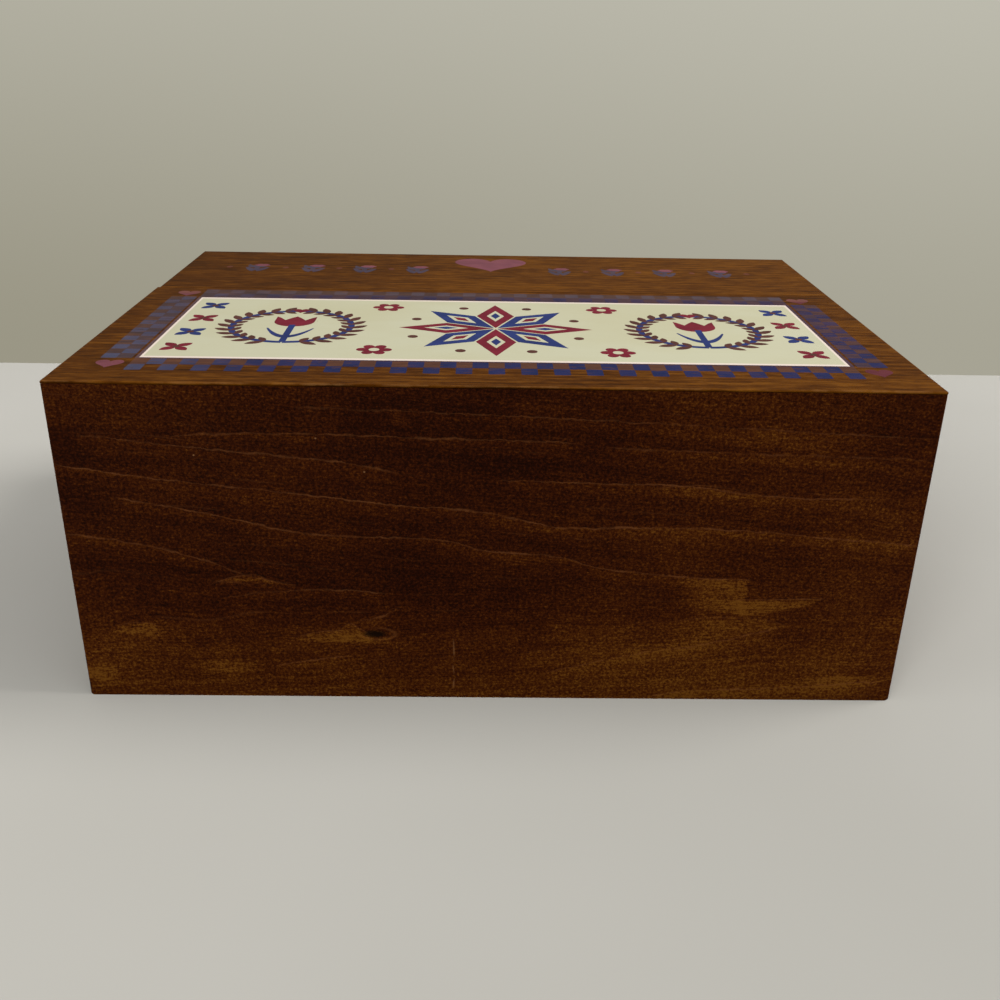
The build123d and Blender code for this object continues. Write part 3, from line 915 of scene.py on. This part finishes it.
on_wood("print_ground", [rectangle(-PANEL_HALF_LONG, PANEL_HALF_LONG, PANEL_FRONT, PANEL_BACK)], cream)
on_wood("print_checks", checks(), blue_checks)
on_wood("print_red_squares", red_squares(), red_checks)
on_wood("print_violet_squares", violet_squares(), violet_checks)
on_wood("print_panel_edge", panel_edge(), edge_ink)
corner_heart = heart(CORNER_HEART_SIZE, CORNER_HEART_SIZE * 0.95)
on_wood("print_corner_hearts", [at(corner_heart, x, y) for x, y in CORNER_HEARTS], heart_ink)
on_wood("print_big_heart", [at(heart(*BIG_HEART_SIZE), *BIG_HEART)], rear_pink)
flowers_blue, flowers_pink = rear_flowers()
on_wood("print_flower_dots", [at(disc(1.7, 14) * (1.0, 1.4), x, TULIP_Y) for x in DOT_X], faint_red)
on_wood("print_flower_leaves", flowers_blue, rear_blue)
on_wood("print_flower_blooms", flowers_pink, rear_pink, MAROON_FILM)
PICTURE_FILMS = [
    ("picture_navy", NAVY_FILM, navy_ink),
    ("picture_maroon", MAROON_FILM, maroon_ink),
    ("picture_brown", BROWN_FILM, brown_ink),
    ("picture_cream", CREAM_FILM, cream),
    ("picture_navy_small", SMALL_FILM, navy_ink),
    ("picture_maroon_small", SMALL_FILM, maroon_ink),
]
for shapes, (film_name, high, picture_ink) in zip(picture(), PICTURE_FILMS):
    film(film_name, shapes, LID_TOP, LID_TOP + high, picture_ink)


# Finishes of the box's own pieces
def brass(name, seed):
    finish = Finish(name)
    cloud = finish.noise((5, 5, 5), 4, 0.6, seed)
    spots = finish.patches(0.58, 0.72, (1.4, 1.4, 1.4), 2, 0.6, seed + 4)
    brushed = finish.noise((14, 0.25, 0.25), 3, 0.6, seed + 7)
    colour = finish.mix(cloud, tone(196, 160, 92), tone(158, 120, 62))
    colour = finish.mix(spots * 0.7, colour, tone(92, 66, 38))
    rough = 0.3 + cloud * 0.16 + spots * 0.2
    return finish.surface(colour, rough, brushed, metal=1.0 - spots * 0.5, depth=0.02)


def steel(name, seed):
    finish = Finish(name)
    cloud = finish.noise((2.5, 2.5, 2.5), 4, 0.6, seed)
    rust = finish.patches(0.55, 0.7, (1.2, 1.2, 1.2), 3, 0.6, seed + 4)
    colour = finish.mix(cloud, tone(150, 148, 144), tone(112, 108, 104))
    colour = finish.mix(rust * 0.7, colour, tone(96, 60, 38))
    rough = 0.34 + rust * 0.3
    return finish.surface(colour, rough, cloud, metal=1.0 - rust * 0.7, depth=0.02)


def plywood(name):
    """Bare rotary-cut plywood with its thin layers at the edges."""
    finish = Finish(name)
    late, streak, blot, fleck = pine_grain(finish, finish.x, finish.y, finish.z, 16.0, 70.0, 0.2, 71.0)
    shade = 0.55 + (streak - 0.5) * 0.5 + (blot - 0.5) * 0.5 - late * 0.2
    colour = finish.three_tones(shade, tone(146, 108, 70), tone(188, 152, 108), tone(212, 182, 142))
    colour = finish.mix(fleck * 0.5, colour, tone(120, 84, 52))
    layers = finish.math("PINGPONG", finish.z, 0.9) * 0.22
    colour = finish.mix(layers, colour, tone(120, 82, 50))
    rough = 0.66 + (streak - 0.5) * 0.2
    return finish.surface(colour, rough, streak - late * 0.3, specular=0.3)


def card_board(name):
    """Pressed buff board with short fibres, a little darker at its edges."""
    finish = Finish(name)
    fibre = finish.noise((3, 3, 0.5), 4, 0.65, 81)
    cross = finish.noise((0.5, 3, 3), 4, 0.65, 83)
    cloud = finish.noise((34, 34, 34), 3, 0.6, 85)
    speck = finish.patches(0.68, 0.78, (0.7, 0.7, 0.7), 1, 0.5, 87)
    shade = 0.5 + (fibre - 0.5) * 0.5 + (cross - 0.5) * 0.4 + (cloud - 0.5) * 0.6
    colour = finish.three_tones(shade, tone(166, 138, 96), tone(198, 172, 128), tone(216, 194, 154))
    colour = finish.mix(speck * 0.5, colour, tone(126, 96, 62))
    handled = finish.z.rise(116, 132.5)
    colour = finish.mix(handled * 0.35, colour, tone(152, 120, 80))
    rough = 0.8 + (fibre - 0.5) * 0.2
    return finish.surface(colour, rough, fibre + cross, specular=0.2)


def beech(name):
    finish = Finish(name)
    streak = finish.noise((1, 22, 1), 3, 0.6, 91)
    fleck = finish.patches(0.62, 0.74, (0.4, 3, 0.4), 1, 0.5, 93)
    colour = finish.mix(streak, tone(196, 158, 116), tone(220, 188, 148))
    colour = finish.mix(fleck * 0.5, colour, tone(160, 118, 78))
    rough = 0.6 + (streak - 0.5) * 0.2
    return finish.surface(colour, rough, streak, specular=0.3, depth=0.03)


def dress(node, material):
    """Gives a node of the box one finish."""
    mesh = nodes[node].data
    mesh.materials.clear()
    mesh.materials.append(material)


dress("front_board", front_wood())
dress("lid_front_board", closed(lid_wood("lid_front_pine", 3.0, front_lid_tint)))
dress("lid_rear_board", closed(lid_wood("lid_rear_pine", 5.0, rear_lid_tint_and_sheen)))
dress("back_board", case_wood("case_pine_back", "x", "y", 9.0, 34.0, 14.0, HALF_WIDTH))
dress("left_side", case_wood("case_pine_left", "y", "x", 9.0, 36.0, 24.0))
dress("right_side", case_wood("case_pine_right", "y", "x", 8.0, 40.0, 31.0))
dress("partition", closed(stained_pine(
    "inner_pine", "y", "z", "x", INNER_TONES, wander=30.0, seed=37.0, specular=0.25, rough=0.62)))
dress("bottom_panel", plywood("floor_plywood"))
dress("lid_dowels", beech("dowel_beech"))
hinge_finish = brass("hinge_brass", 5.0)
screw_finish = brass("screw_brass", 25.0)
pin_finish = steel("pin_steel", 11.0)
for side in ("left", "right"):
    dress(f"hinge_case_leaf_{side}", hinge_finish)
    dress(f"hinge_lid_leaf_{side}", hinge_finish)
    dress(f"hinge_pin_{side}", pin_finish)
dress("hinge_case_screws", screw_finish)
dress("hinge_lid_screws", screw_finish)
dress("side_brads", steel("brad_steel", 17.0))
dress("bottom_brads", steel("brad_steel_floor", 19.0))
divider_finish = card_board("divider_board")
divider_names = sorted(name for name in nodes if name.startswith("divider_"))
for name in divider_names:
    dress(name, divider_finish)


# Plain numbers on the dividers' tabs
def number_ink():
    finish = Finish("tab_number_ink")
    worn = finish.noise((2, 2, 2), 3, 0.6, 95)
    colour = finish.mix(worn.rise(0.35, 0.8), tone(84, 34, 30), tone(120, 70, 54))
    return finish.surface(colour, 0.7, worn, specular=0.2, depth=0.01)


# Tabs stand in four places, from one end of a divider to the other
DIVIDER_WIDE = 190.0
DIVIDER_MIDDLE = -70.0
TAB_WIDE = 40.0
TAB_HIGH = 11.0
TAB_MARGIN = 6.0
TAB_PLACES = 4
TAB_REACH = DIVIDER_WIDE / 2 - TAB_MARGIN - TAB_WIDE / 2
NUMBER_HIGH = 6.4
FIGURE_SHARE = 0.72


def tab_number(index, ink):
    """The number of a divider, flat on the front of its tab and 0.03 mm proud of it."""
    name = divider_names[index]
    low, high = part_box(name)
    curve = bpy.data.curves.new(f"number_{index + 1:02d}", "FONT")
    curve.body = str(index + 1)
    curve.size = NUMBER_HIGH * MM / FIGURE_SHARE
    curve.align_x = "CENTER"
    curve.extrude = 0.02 * MM
    curve.resolution_u = 4
    holder = add_object("holder", curve)
    bpy.context.view_layer.update()
    graph = bpy.context.evaluated_depsgraph_get()
    mesh = bpy.data.meshes.new_from_object(holder.evaluated_get(graph))
    bpy.data.objects.remove(holder)
    x = (DIVIDER_MIDDLE - TAB_REACH + 2 * TAB_REACH * (index % TAB_PLACES) / (TAB_PLACES - 1)) * MM
    z = high.z - (TAB_HIGH / 2 + NUMBER_HIGH / 2) * MM
    upright = Matrix.Rotation(pi / 2, 4, "X")
    mesh.transform(Matrix.Translation((x, low.y - 0.01 * MM, z)) @ upright)
    mesh.name = curve.name
    mesh.materials.clear()
    mesh.materials.append(ink)
    obj = add_object(curve.name, mesh)
    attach(obj, "case")


ink = number_ink()
for divider_index in range(len(divider_names)):
    tab_number(divider_index, ink)


# Stage: a pale floor, and a plain wall that only shows from its front
def stage_plane(name, corners, material, faces):
    mesh = bpy.data.meshes.new(name)
    mesh.from_pydata(corners, [], faces)
    mesh.materials.append(material)
    obj = add_object(name, mesh)
    obj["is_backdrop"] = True
    return obj


def one_sided(finish, shader):
    """Shows a shader from its face's front, and nothing from behind."""
    clear = finish.node("ShaderNodeBsdfTransparent")
    behind = finish.node("ShaderNodeNewGeometry").outputs["Backfacing"]
    chosen = finish.node("ShaderNodeMixShader", {0: behind, 1: shader, 2: clear.outputs[0]})
    finish.node("ShaderNodeOutputMaterial", {"Surface": chosen.outputs[0]})
    return finish.material


def floor_finish():
    finish = Finish("stage_floor")
    cloud = finish.noise((160, 160, 160), 2, 0.5, 3)
    colour = finish.mix(cloud, tone(190, 189, 183), tone(197, 196, 191))
    shader = finish.node("ShaderNodeBsdfDiffuse", {"Color": colour, "Roughness": 0.9})
    return one_sided(finish, shader.outputs[0])


def wall_finish():
    """A grey-green wall that glows of itself, paler above and on the right as painted light, and lets
    the camera through from behind.
    """
    finish = Finish("stage_wall")
    share = finish.z.rise(0, 420) * 0.75 + finish.x.rise(-450, 450) * 0.3
    colour = finish.mix(share, tone(154, 150, 133), tone(192, 190, 177))
    glow = finish.node("ShaderNodeEmission", {"Color": colour, "Strength": 1.0})
    return one_sided(finish, glow.outputs[0])


# Places of the stage, in metres
WALL_Y = 0.362
WALL_REACH = 4.0
WALL_HIGH = 3.0
FLOOR_REACH = 6.0
FLOOR_OPEN_X = (HALF_WIDTH - 0.5) * MM
FLOOR_OPEN_Y = (HALF_DEPTH - 0.5) * MM
# The front board's lower corners are worn round, so floor shows under them
WORN_X = (HALF_WIDTH - 3.0) * MM
WORN_Y = (FRONT_Y + 10.5) * MM


def floor_corners(x0, x1, y0, y1):
    return [(x0, y0, 0), (x1, y0, 0), (x1, y1, 0), (x0, y1, 0)]


def stage_wall():
    """A wall behind the box, that casts no shadow and no tint on it."""
    low, high = (-WALL_REACH, WALL_Y, 0), (WALL_REACH, WALL_Y, WALL_HIGH)
    corners = [low, (high[0], WALL_Y, 0), high, (low[0], WALL_Y, WALL_HIGH)]
    wall = stage_plane("stage_wall", corners, wall_finish(), [(0, 1, 2, 3)])
    wall.visible_shadow = False
    wall.visible_diffuse = False


def stage_floor():
    """A floor that is open under the box, inside its outline, so that its underside shows."""
    corners = floor_corners(-FLOOR_REACH, FLOOR_REACH, -FLOOR_REACH, FLOOR_REACH)
    corners += floor_corners(-FLOOR_OPEN_X, FLOOR_OPEN_X, -FLOOR_OPEN_Y, FLOOR_OPEN_Y)
    faces = [(side, (side + 1) % 4, (side + 1) % 4 + 4, side + 4) for side in range(4)]
    for low_x, high_x in ((-FLOOR_OPEN_X, -WORN_X), (WORN_X, FLOOR_OPEN_X)):
        faces.append(tuple(range(len(corners), len(corners) + 4)))
        corners += floor_corners(low_x, high_x, -FLOOR_OPEN_Y, WORN_Y)
    stage_plane("stage_floor", corners, floor_finish(), faces)


stage_floor()
stage_wall()


# Light
WORLD_STRENGTH = 0.62
SKY = (1.0, 0.985, 0.96, 1.0)
AIM = (0, 0, 0.07)


def world_light():
    """Even pale light; the camera, gloss and glass see the wall's tone instead."""
    world = bpy.data.worlds.new("room")
    bpy.context.scene.world = world
    room = Shading(world)
    path = room.node("ShaderNodeLightPath").outputs
    seen = room.math("MAXIMUM", path["Is Camera Ray"], path["Is Transmission Ray"])
    seen = room.math("MAXIMUM", seen, path["Is Glossy Ray"])
    light = room.node("ShaderNodeBackground", {"Color": SKY, "Strength": WORLD_STRENGTH})
    plain = room.node("ShaderNodeBackground", {"Color": tone(184, 181, 168), "Strength": 1.0})
    chosen = room.node("ShaderNodeMixShader", {0: seen, 1: light.outputs[0], 2: plain.outputs[0]})
    room.node("ShaderNodeOutputWorld", {"Surface": chosen.outputs[0]})


def lamp(name, place, size, power, colour):
    """A round lamp, in metres and watts, that looks at the box."""
    light = bpy.data.lights.new(name, "AREA")
    light.shape = "DISK"
    light.size = size
    light.energy = power
    light.color = colour
    obj = add_object(name, light)
    obj.location = place
    obj.rotation_mode = "QUATERNION"
    obj.rotation_quaternion = (Vector(AIM) - Vector(place)).to_track_quat("-Z", "Y")


world_light()
lamp("key", (1.25, 0.05, 1.45), 0.8, 19.0, (1.0, 0.97, 0.93))
lamp("fill", (-0.7, -1.7, 0.8), 1.0, 11.0, (1.0, 0.98, 0.95))

# Camera: places in widths of the box, angles in degrees
BOX_WIDTH = 2 * HALF_WIDTH * MM
CAMERA_PLACE = (-0.015 * BOX_WIDTH, -1.482 * BOX_WIDTH, 0.770 * BOX_WIDTH)
CAMERA_YAW = radians(1.04)
CAMERA_PITCH = radians(24.03)
CAMERA_ROLL = radians(1.05)
FOCAL_SHARE = 1.063
SENSOR = 36.0


def place_camera():
    """Looks along the yaw, down by the pitch, and rolls about its own axis."""
    yaw, pitch, roll = CAMERA_YAW, CAMERA_PITCH, CAMERA_ROLL
    level = cos(pitch)
    ahead = Vector((sin(yaw) * level, cos(yaw) * level, -sin(pitch)))
    right = Vector((cos(yaw), -sin(yaw), 0.0))
    up = right.cross(ahead)
    across = right * cos(roll) + up * sin(roll)
    upward = up * cos(roll) - right * sin(roll)
    data = bpy.data.cameras.new("camera")
    data.sensor_width = SENSOR
    data.lens = SENSOR * FOCAL_SHARE
    data.clip_start = 0.01
    data.clip_end = 50.0
    camera = add_object("camera", data)
    turn = Matrix((across, upward, -ahead)).transposed().to_4x4()
    camera.matrix_world = Matrix.Translation(CAMERA_PLACE) @ turn
    bpy.context.scene.camera = camera


place_camera()
bpy.context.scene.view_settings.view_transform = "Standard"

low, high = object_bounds()
